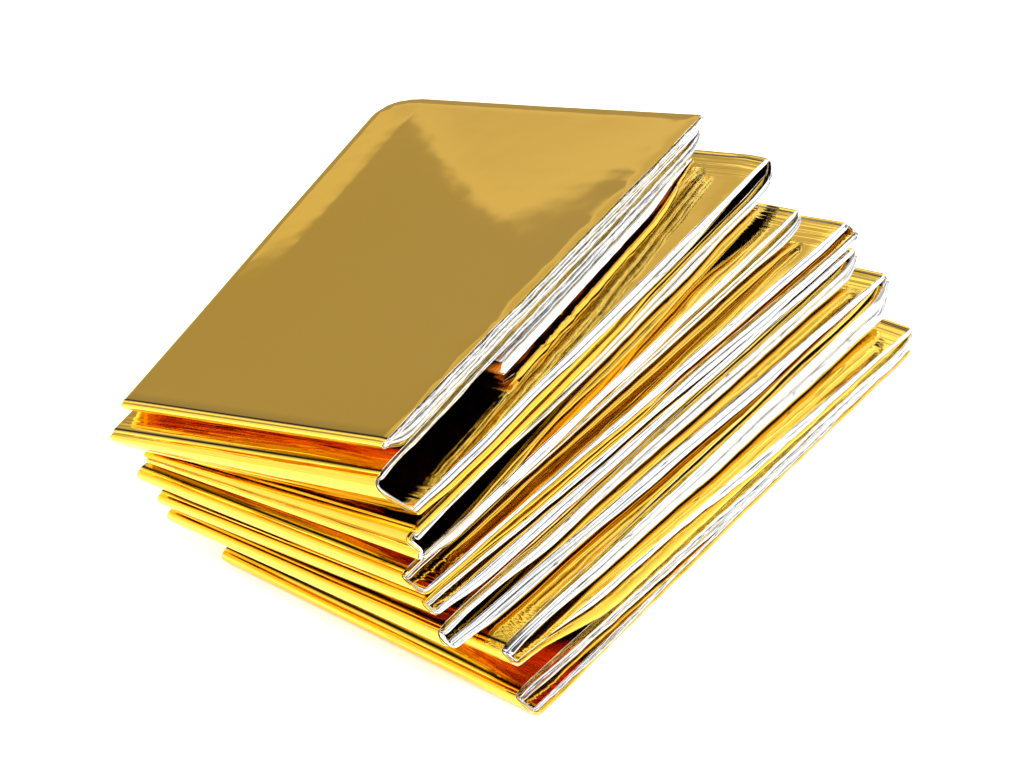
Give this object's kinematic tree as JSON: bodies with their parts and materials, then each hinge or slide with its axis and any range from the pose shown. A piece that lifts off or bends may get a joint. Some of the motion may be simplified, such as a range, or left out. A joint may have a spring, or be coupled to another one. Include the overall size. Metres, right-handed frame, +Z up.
{
  "type": "emergency foil blanket, folded",
  "caption": "Folded emergency foil blanket, gold outside and silver inside, its back-and-forth layers fanned open at one end.",
  "frame": {"origin": "centre of the packet's outline at the surface it lies on", "axes": "+X across the strip towards the open, fanned end; +Y along the layers towards the rear folds; +Z up"},
  "size_m": [0.123, 0.1408, 0.0442],
  "materials": {
    "gold_film": "gloss"
  },
  "bodies": {
    "root": {"foil_blanket": "gold_film"}
  },
  "joints": []
}
